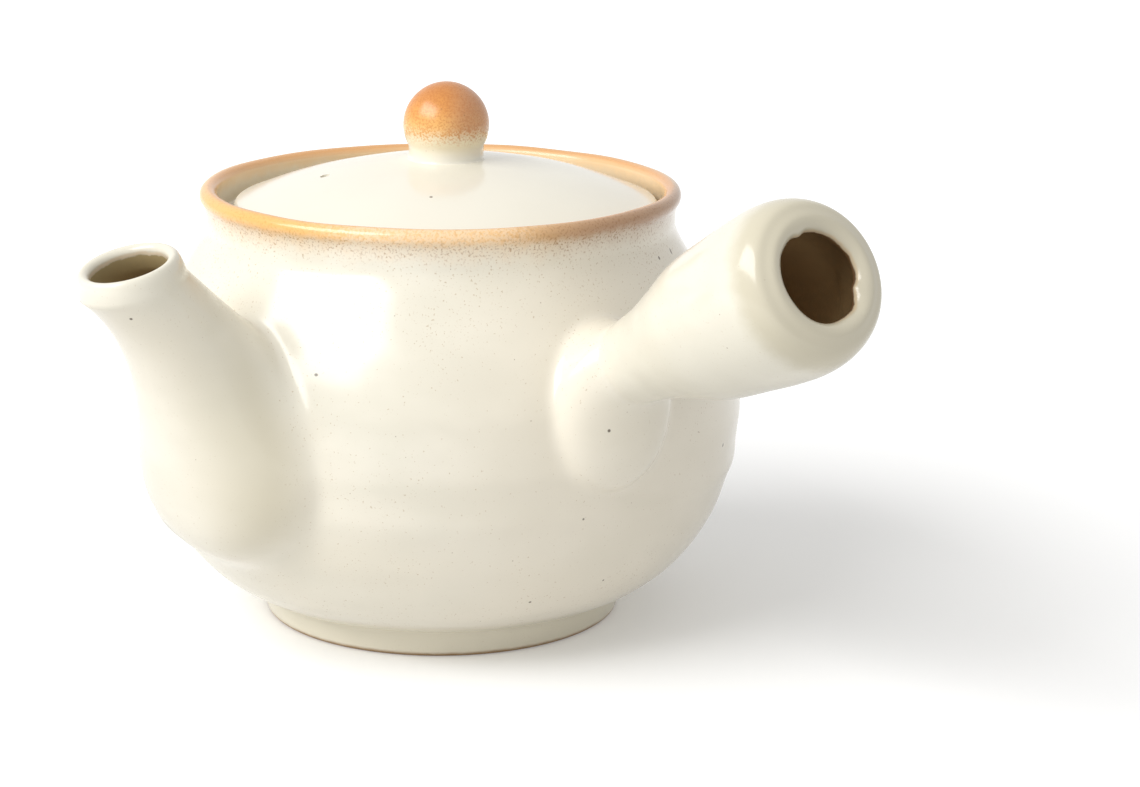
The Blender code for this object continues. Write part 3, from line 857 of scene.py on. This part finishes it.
def specks(bench, spot, cell, size, share):
    # Round iron specks of uneven size, one in a share of the cells
    inputs = {"Vector": spot, "Scale": 1 / cell}
    distance, colour = bench.node("ShaderNodeTexVoronoi", {"feature": "F1"}, inputs, ("Distance", "Color"))
    chance, sizeChance, _ = bench.axes(colour)
    kept = bench.maths("LESS_THAN", chance, share)
    radius = size / cell * (0.45 + 0.9 * sizeChance)
    return kept * (1 - bench.step(distance / radius, 0.55, 1.0))


def grains(bench, spot, size, low, high):
    # Fine grains of iron in the glaze, thicker where low is low
    return bench.step(bench.noise(spot, size, 1.5, 0.6), low, high)


def side(bench, x, y, angle, low, high):
    # 1 on the side of the pot that faces the angle
    turn = math.radians(angle)
    return bench.step((x * math.cos(turn) + y * math.sin(turn)) / bodyForm["rimRadius"], low, high)


# The cream glaze that all pieces share. Pairs give where a look begins and where it is full.
creamLook = {
    "cream": shade(231, 226, 211), "warm": shade(232, 224, 206), "cool": shade(223, 218, 202),
    # painted light: a lighter, warmer cream for the side of the pot away from the lamp, the side it covers and its
    # largest share
    "paintedLight": shade(236, 226, 207), "paintedLightSide": (30, 0.2, 1.0), "paintedLightMost": 0.5,
    "grain": shade(176, 150, 112), "speck": shade(120, 86, 50), "darkSpeck": shade(70, 52, 34),
    "coolSize": 0.026, "warmSize": 0.040, "crowdSize": 0.020, "crowdHeights": (0.056, 0.076), "grainSize": 0.00042,
    # a cell and the speck in it, and for the rare ones in how many of the cells
    "smallSpecks": (0.0014, 0.00014), "rareSpecks": (0.0090, 0.00026, 0.10), "markEdge": (0.00018, 0.00040),
    "roughness": 0.15, "peel": ((0.0030, 2, 0.00002), (0.0120, 1, 0.00005)),
}


def creamBase(bench, spot, height, calm=1.0, paintedLightAmount=0.0):
    # calm below 1 thins the grains out, and the last argument lays painted light, a lighter and warmer cream, on
    # the side of the pot away from the lamp
    look = creamLook
    cloud = bench.noise(bench.vector("MULTIPLY", spot, (1, 1, 1.8)), look["coolSize"], 3)
    warm = bench.noise(spot, look["warmSize"])
    dense = bench.step(bench.noise(spot, look["crowdSize"]), 0.38, 0.64)
    crowd = calm * (0.45 * dense + 0.55 * bench.step(height, *look["crowdHeights"]))
    fine = grains(bench, spot, look["grainSize"], 0.69 - 0.11 * crowd, 0.79 - 0.11 * crowd)
    return bench.layered(
        look["cool"], (bench.step(cloud, 0.38, 0.66), look["cream"]),
        (0.6 * bench.step(warm, 0.46, 0.70), look["warm"]), (paintedLightAmount, look["paintedLight"]),
        (0.55 * calm * fine, look["grain"]),
        (0.5 * specks(bench, spot, *look["smallSpecks"], 0.03 + 0.12 * crowd), look["speck"]),
        (0.8 * specks(bench, spot, *look["rareSpecks"]), look["darkSpeck"]))


# Painted light: how much lighter and warmer the side of the pot away from the lamp is painted
def paintedLightShare(bench, x, y):
    return creamLook["paintedLightMost"] * side(bench, x, y, *creamLook["paintedLightSide"])


def darkMark(away, low, high):
    # The share of a single dark speck, from its middle out to where it has faded
    return 0.85 * (1 - away.bench.step(away, low, high))


def peel(bench, spot):
    return [(bench.noise(spot, size, detail), depth) for size, detail, depth in creamLook["peel"]]


bodyLook = {
    "rimFront": shade(238, 192, 132), "rimLeft": shade(236, 180, 100), "rimRight": shade(178, 136, 98),
    "rimBack": shade(234, 202, 158), "rimPale": shade(246, 230, 204), "rimGrain": shade(146, 98, 54),
    "crest": shade(214, 150, 82), "collar": shade(232, 220, 196), "collarRight": shade(206, 184, 152),
    "foot": shade(240, 233, 212), "clay": shade(170, 138, 100), "patchSize": 0.00060,
    # the angle that each side faces, and how squarely
    "leftSide": (-100, 0.62, 0.95), "rightSide": (30, 0.55, 0.95), "backSide": (140, -0.1, 0.5),
    "collarSide": (30, -0.2, 0.7),
    # distances from the axis
    "outside": (0.0409, 0.0414), "crestWithin": (0.0422, 0.0430), "withinTo": (0.0409, 0.0415),
    "bareFrom": (0.026, 0.028),
    # heights of brown grains, thin amber glaze, the lip's crest, the collar and its top, the foot and its edge
    "grained": (0.0728, 0.0780), "thin": (0.0764, 0.0786), "crestFrom": (0.0786, 0.0792),
    "collarFrom": (0.0738, 0.0744), "collarTop": (0.0765, 0.0790), "footTo": (0.0045, 0.0085),
    "bareTo": (0.0003, 0.0011),
    # marks that the firing left: height, angle round the pot, size, and how many times taller than wide
    "marks": ((0.0306, -7.7, 0.00034, 1), (0.0142, -15.2, 0.00030, 1), (0.0166, 1.3, 0.00026, 1.6),
              (0.0363, 32.2, 0.00040, 1.4), (0.0705, 27.6, 0.00034, 1.3), (0.0705, 35.6, 0.00034, 5.5),
              (0.0560, -58.3, 0.00050, 0.7)),
}


def bodyGlaze():
    bench = Bench("creamBodyGlaze")
    look = bodyLook
    spot = bench.spot()
    x, y, height = bench.axes(spot)
    radius = bench.maths("SQRT", x * x + y * y)
    rag = bench.noise(spot, 0.0030, 3, 0.6) - 0.5
    broad = bench.noise(spot, 0.022) - 0.5
    # painted light on the side away from the lamp
    colour = creamBase(bench, spot, height, 1.0, paintedLightShare(bench, x, y))
    colour = bench.mix(0.8 * (1 - bench.step(height, *look["footTo"])), colour, look["foot"])
    left, right, back = (side(bench, x, y, *look[name]) for name in ("leftSide", "rightSide", "backSide"))
    amber = bench.layered(look["rimFront"], (right, look["rimRight"]), (left, look["rimLeft"]),
                          (back, look["rimBack"]))
    patches = grains(bench, spot, look["patchSize"], 0.44, 0.62)
    strong = 0.60 + 0.30 * patches + 0.55 * bench.most(left, right, back) + 0.35 * bench.step(broad, 0, 0.16)
    amber = bench.mix(bench.maths("MINIMUM", strong, 1), look["rimPale"], amber)
    grain = grains(bench, spot, creamLook["grainSize"], 0.52, 0.64)
    # below the lip the glaze thickens from brown grains to plain cream
    grained = bench.step(height + 0.0030 * rag + 0.0024 * broad, *look["grained"])
    grained = grained * bench.step(radius, *look["outside"])
    thin = bench.step(height + 0.0018 * rag + 0.0014 * broad, *look["thin"])
    crest = bench.step(height, *look["crestFrom"]) * (1 - bench.step(radius + 0.0007 * rag, *look["crestWithin"]))
    colour = bench.layered(
        colour, (0.40 * grained, amber), (0.50 * grain * grained, look["rimGrain"]), (0.92 * thin, amber),
        (0.34 * thin * grain * (0.4 + 0.6 * right), look["rimGrain"]), (0.75 * crest, look["crest"]))
    # the collar inside the rim
    within = (1 - bench.step(radius, *look["withinTo"])) * bench.step(height, *look["collarFrom"])
    wallTone = bench.layered(look["collar"], (side(bench, x, y, *look["collarSide"]), look["collarRight"]),
                             (bench.step(height + 0.002 * rag, *look["collarTop"]), look["rimBack"]))
    colour = bench.mix(within * (1 - 0.5 * crest), colour, wallTone)
    for markHeight, angle, size, tall in look["marks"]:
        place = wallRadius(markHeight) * levelWay(angle) + (0, 0, markHeight / tall)
        squat = bench.vector("MULTIPLY", spot, (1, 1, 1 / tall))
        mark = darkMark(bench.away(squat, place) + 0.0003 * rag, 0.5 * size, 1.1 * size)
        colour = bench.mix(mark, colour, creamLook["darkSpeck"])
    # bare clay under the foot ring
    edge = 1 - bench.step(height + 0.0004 * rag, *look["bareTo"])
    bare = edge * bench.step(radius, *look["bareFrom"])
    roughness = creamLook["roughness"] + 0.06 * (rag + 0.5) + 0.5 * bare
    return bench.finish(bench.mix(bare, colour, look["clay"]), roughness, peel(bench, spot))


# The spout's glaze and the handle's, and the clay in their bores
tubeLook = {
    # thin is a painted shade, laid on the spout's flank away from the lamp and on the handle's end face
    "thin": shade(198, 190, 166), "deepBore": shade(196, 164, 116), "boreEdge": shade(214, 176, 124),
    # distances from the axis, and then the heights where the flank painted in shade ends
    "wallTo": (0.0560, 0.0660), "flankFrom": (0.0545, 0.0600), "flankTo": (0.056, 0.072), "flankSpan": (0.02, 0.44),
    # along the clay from the lip's crest into the bore, and below zero back over the end
    "endFrom": (-0.0100, -0.0055), "boreFade": 0.0004, "brinkWidth": 0.0007, "deepFrom": 0.016,
}
# bore is the clay where a bore begins, painted darker as shade
spoutLook = {
    "bore": shade(164, 146, 106), "boreStart": 0.0022, "endPaintedShade": 0.0, "paintedShadeFlank": 9.4,
    "mark": (0.0178, -0.0741, 0.0678),
}
handleLook = {
    "bore": shade(98, 70, 40), "boreStart": 0.0025, "endPaintedShade": 0.8, "paintedShadeFlank": None,
    "mark": (0.0592, -0.0059, 0.0473),
}


def tubeGlaze(name, own):
    bench = Bench(name)
    look = tubeLook
    spot = bench.spot()
    x, y, height = bench.axes(spot)
    radius = bench.maths("SQRT", x * x + y * y)
    rag = bench.noise(spot, 0.0022, 3, 0.6) - 0.5
    nearWall = 1 - bench.step(radius, *look["wallTo"])
    # the painted light of the body's side away from the lamp runs onto the tube near the wall
    colour = creamBase(bench, spot, height, 0.4 + 0.6 * nearWall, nearWall * paintedLightShare(bench, x, y))
    if own["paintedShadeFlank"] is not None:
        # painted shade: the spout's flank that faces away from the lamp is painted darker
        flank = side(bench, x, y, own["paintedShadeFlank"], *look["flankSpan"])
        flank = flank * bench.step(radius, *look["flankFrom"]) * (1 - bench.step(height, *look["flankTo"]))
        colour = bench.mix(0.75 * flank, colour, look["thin"])
    mark = darkMark(bench.away(spot, own["mark"]) + 0.0003 * rag, *creamLook["markEdge"])
    colour = bench.mix(mark, colour, creamLook["darkSpeck"])
    past = bench.node("ShaderNodeAttribute", {"attribute_name": "past"}, output="Fac")
    # painted shade: the handle's end face round the mouth is painted darker
    if own["endPaintedShade"]:
        colour = bench.mix(own["endPaintedShade"] * bench.step(past + 0.0020 * rag, *look["endFrom"]), colour, look["thin"])
    past = past + 0.0010 * rag
    begin = own["boreStart"]
    inside = bench.step(past, begin, begin + look["boreFade"])
    brink = bench.step(past, begin - look["brinkWidth"], begin) * (1 - inside)
    # painted shade: the clay is painted darkest where the mouth begins and lighter deeper in, so that the bore
    # looks evenly dark
    clay = bench.mix(bench.step(past, begin, look["deepFrom"]), own["bore"], look["deepBore"])
    colour = bench.layered(colour, (0.4 * brink, look["boreEdge"]), (inside, clay))
    roughness = creamLook["roughness"] + 0.06 * (rag + 0.5) + 0.35 * inside
    return bench.finish(colour, roughness, peel(bench, spot))


lidLook = {
    "white": shade(235, 230, 214), "whiteShare": 0.7, "calm": 0.25, "mark": (0.0185, -0.0147, 0),
    "peel": (0.0120, 1, 0.00006),
}


def lidGlaze():
    bench = Bench("creamLidGlaze")
    look = lidLook
    spot = bench.spot()
    rag = bench.noise(spot, 0.0022, 3, 0.6) - 0.5
    flat = bench.vector("MULTIPLY", spot, (1, 1, 0))
    mark = darkMark(bench.away(flat, look["mark"]) + 0.0002 * rag, *creamLook["markEdge"])
    colour = bench.layered(creamBase(bench, spot, 0, look["calm"]), (look["whiteShare"], look["white"]),
                           (mark, creamLook["darkSpeck"]))
    size, detail, depth = look["peel"]
    roughness = creamLook["roughness"] + 0.04 * (rag + 0.5)
    return bench.finish(colour, roughness, [(bench.noise(spot, size, detail), depth)])


knobLook = {
    "amber": shade(224, 156, 80), "deep": shade(202, 132, 66), "pale": shade(242, 196, 124),
    # the duller tone is painted shade, for the knob's side away from the lamp
    "paintedShadeTone": shade(196, 144, 106), "grain": shade(178, 102, 40), "cream": shade(234, 222, 192),
    "grainSize": 0.00034, "specks": (0.0011, 0.00016, 0.25), "paintedShadeSide": (40, 0.03, 0.15),
    # heights of the deep, pale and creamy parts, of the amber's edge, and of the specks
    "deepFrom": (0.0925, 0.0985), "paleBelow": 0.0955, "paleFade": 0.0040, "creamFrom": (0.0855, 0.0885),
    "amberFrom": (0.0880, 0.0914), "speckFrom": (0.0862, 0.0885),
}


def knobGlaze():
    bench = Bench("amberKnobGlaze")
    look = knobLook
    spot = bench.spot()
    x, y, height = bench.axes(spot)
    rag = bench.noise(spot, 0.0020, 3, 0.6) - 0.5
    broad = bench.noise(spot, 0.0070) - 0.5
    grain = grains(bench, spot, look["grainSize"], 0.46, 0.60)
    # painted shade: the knob's side away from the lamp turns a duller, darker amber
    amber = bench.layered(
        look["amber"], (bench.step(height + 0.004 * broad, *look["deepFrom"]), look["deep"]),
        (0.6 * bench.step(look["paleBelow"] - height + 0.006 * broad, 0, look["paleFade"]), look["pale"]),
        (0.7 * side(bench, x, y, *look["paintedShadeSide"]), look["paintedShadeTone"]), (0.40 * grain, look["grain"]))
    over = bench.step(height + 0.0016 * rag + 0.0012 * (grain - 0.5), *look["amberFrom"])
    dots = specks(bench, spot, *look["specks"]) * bench.step(height, *look["speckFrom"])
    colour = bench.layered(creamLook["cream"], (bench.step(height, *look["creamFrom"]), look["cream"]),
                           (over, amber), (0.5 * dots, creamLook["speck"]))
    roughness = creamLook["roughness"] + 0.10 * over + 0.05 * (rag + 0.5)
    return bench.finish(colour, roughness, peel(bench, spot))


strainerLook = {
    "pale": shade(196, 176, 140), "dark": shade(170, 146, 108), "cloudSize": 0.004, "roughness": 0.42,
    "grit": (0.0008, 3, 0.00004),
}


def strainerClay():
    bench = Bench("strainerClay")
    look = strainerLook
    spot = bench.spot()
    cloud = bench.noise(spot, look["cloudSize"], 3)
    size, detail, depth = look["grit"]
    return bench.finish(bench.mix(bench.step(cloud, 0.35, 0.65), look["pale"], look["dark"]), look["roughness"],
                        [(bench.noise(spot, size, detail), depth)])


def dress(piece, material, body, node):
    piece.data.materials.clear()
    piece.data.materials.append(material)
    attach(piece, body)
    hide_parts(node)


dress(potBody, bodyGlaze(), "pot", "pot_body")
dress(spout, tubeGlaze("creamSpoutGlaze", spoutLook), "pot", "spout")
dress(handle, tubeGlaze("creamHandleGlaze", handleLook), "pot", "handle")
dress(lid, lidGlaze(), "lid", "lid")
dress(knob, knobGlaze(), "lid", "lid_knob")
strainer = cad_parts["tea_strainer"]
strainer.data.materials.clear()
strainer.data.materials.append(strainerClay())
print("pieces glazed")


# Floor, light and camera

studio = {
    "floorSize": 6.0, "floorColour": (0.80, 0.80, 0.80), "floorRoughness": 0.9,
    # what the camera sees of the floor near the pot and far from it, and of the room
    "nearGlow": (0.20, 0.198, 0.19), "farGlow": (0.54, 0.54, 0.54), "glowSpan": (0.06, 0.34),
    "worldSeen": (1.0, 1.0, 1.0), "worldLight": (0.60, 0.60, 0.60),
    "keyAngle": -58, "keyHeight": 40, "keyDistance": 1.6, "keyWidth": 1.35, "keyTall": 0.80, "keyPower": 23.5,
    "aimHeight": 0.04,
    "heading": 53.3, "fall": 14.63, "roll": 0.49, "cameraPlace": (0.4209, -0.29255, 0.18188), "lens": 94.737,
    "sensorWidth": 36, "clip": (0.01, 100),
}


def seenRays(bench):
    # 1 where the camera looks, straight or by a mirror or glass
    rays = ("Is Camera Ray", "Is Glossy Ray", "Is Transmission Ray")
    return bench.most(*bench.node("ShaderNodeLightPath", output=rays))


def makeFloor():
    half = studio["floorSize"] / 2
    mesh = bpy.data.meshes.new("paleFloor")
    mesh.from_pydata([(-half, -half, 0), (half, -half, 0), (half, half, 0), (-half, half, 0)], [], [(0, 1, 2, 3)])
    floor = bpy.data.objects.new("paleFloor", mesh)
    bpy.context.scene.collection.objects.link(floor)
    bench = Bench("paleFloor")
    # the farther from the pot, the whiter the floor is seen, and its shadow stays near the pot
    away = bench.step(bench.away(bench.spot(), tuple(potAxis)), *studio["glowSpan"])
    glow = bench.mix(seenRays(bench), (0, 0, 0), bench.mix(away, studio["nearGlow"], studio["farGlow"]))
    bench.wear({"Base Color": studio["floorColour"], "Roughness": studio["floorRoughness"],
                "Specular IOR Level": 0, "Emission Color": glow, "Emission Strength": 1.0})
    mesh.materials.append(bench.material)


def makeWorld():
    world = bpy.data.worlds.new("paleRoom")
    bpy.context.scene.world = world
    bench = Bench("paleRoom", world)
    colour = bench.mix(seenRays(bench), studio["worldLight"], studio["worldSeen"])
    bench.wear({"Color": colour, "Strength": 1.0})


def makeKey():
    lamp = bpy.data.lights.new("softKey", "AREA")
    lamp.shape = "RECTANGLE"
    lamp.size, lamp.size_y = studio["keyWidth"], studio["keyTall"]
    lamp.energy = studio["keyPower"]
    key = bpy.data.objects.new("softKey", lamp)
    bpy.context.scene.collection.objects.link(key)
    turn, rise = math.radians(studio["heading"] + studio["keyAngle"]), math.radians(studio["keyHeight"])
    towards = Vector((math.sin(turn) * math.cos(rise), -math.cos(turn) * math.cos(rise), math.sin(rise)))
    key.location = potAxis + Vector((0, 0, studio["aimHeight"])) + towards * studio["keyDistance"]
    key.rotation_euler = towards.to_track_quat("Z", "Y").to_euler()


def makeCamera():
    lens = bpy.data.cameras.new("photoCamera")
    lens.lens = studio["lens"]
    lens.sensor_width = studio["sensorWidth"]
    lens.clip_start, lens.clip_end = studio["clip"]
    camera = bpy.data.objects.new("photoCamera", lens)
    bpy.context.scene.collection.objects.link(camera)
    turn = (Matrix.Rotation(math.radians(studio["heading"]), 4, "Z")
            @ Matrix.Rotation(math.radians(90 - studio["fall"]), 4, "X")
            @ Matrix.Rotation(math.radians(studio["roll"]), 4, "Z"))
    camera.matrix_world = Matrix.Translation(studio["cameraPlace"]) @ turn
    bpy.context.scene.camera = camera


makeFloor()
makeWorld()
makeKey()
makeCamera()
bpy.context.scene.view_settings.view_transform = "Standard"
print("studio made")
